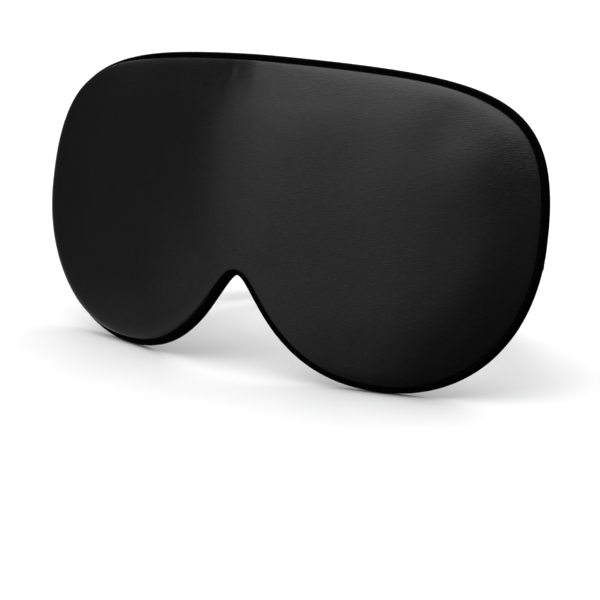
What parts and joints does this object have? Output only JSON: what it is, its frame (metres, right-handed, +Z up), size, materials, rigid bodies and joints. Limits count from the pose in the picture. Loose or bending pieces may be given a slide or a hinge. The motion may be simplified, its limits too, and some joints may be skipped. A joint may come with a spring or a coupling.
{
  "type": "sleep eye mask",
  "caption": "Padded contoured sleep mask with a nose notch, a bound edge and an elastic head strap adjusted by a ring and slider.",
  "frame": {"origin": "on the floor, under the middle of the bounding box of the mask standing on its cheek lobes", "axes": "+X along the width of the mask, to the right as seen from in front; -Y the way the face panel looks; +Z up"},
  "size_m": [0.2056, 0.1096, 0.1067],
  "materials": {
    "satin": "satin weave, soft sheen",
    "lining": "satin weave, soft sheen",
    "binding": "matt woven bias tape",
    "wadding": "fluffy polyester wadding",
    "blackout": "dense plain weave",
    "elastic": "ribbed woven elastic",
    "thread": "twisted polyester thread",
    "plastic": "moulded, semi-gloss"
  },
  "bodies": {
    "mask": {"face_panel": "satin", "front_wadding": "wadding", "blackout_layer": "blackout", "rear_wadding": "wadding", "lining_panel": "lining", "rim_binding": "binding", "strap_end_left": "elastic", "strap_end_right": "elastic", "bar_tack_left": "thread", "bar_tack_right": "thread"},
    "strap": {"band_twist_left": "elastic", "band_twist_right": "elastic", "side_band_left": "elastic", "side_band_right": "elastic"},
    "strap_rear": {"rear_band": "elastic", "return_band": "elastic", "ring": "plastic", "ring_loop": "elastic", "ring_loop_tack": "thread"},
    "slider": {"slider": "plastic", "slider_loop": "elastic", "slider_loop_tack": "thread"}
  },
  "joints": [
    {"name": "strap_swing", "type": "hinge", "parent": "mask", "child": "strap", "pos_m": [0, -0.02346, 0.05088], "axis": [1, 0, 0], "range_deg": [0, 90], "deforming": ["band_twist_left", "band_twist_right"]},
    {"name": "strap_stretch", "type": "slide", "parent": "strap", "child": "strap_rear", "axis": [0, 1, 0], "range_m": [0, 0.045], "stiffness_N_per_m": 60, "deforming": ["side_band_left", "side_band_right"]},
    {"name": "slider_travel", "type": "slide", "parent": "strap_rear", "child": "slider", "axis": [1, 0, 0], "range_m": [-0.019, 0.008], "deforming": ["return_band"]}
  ]
}
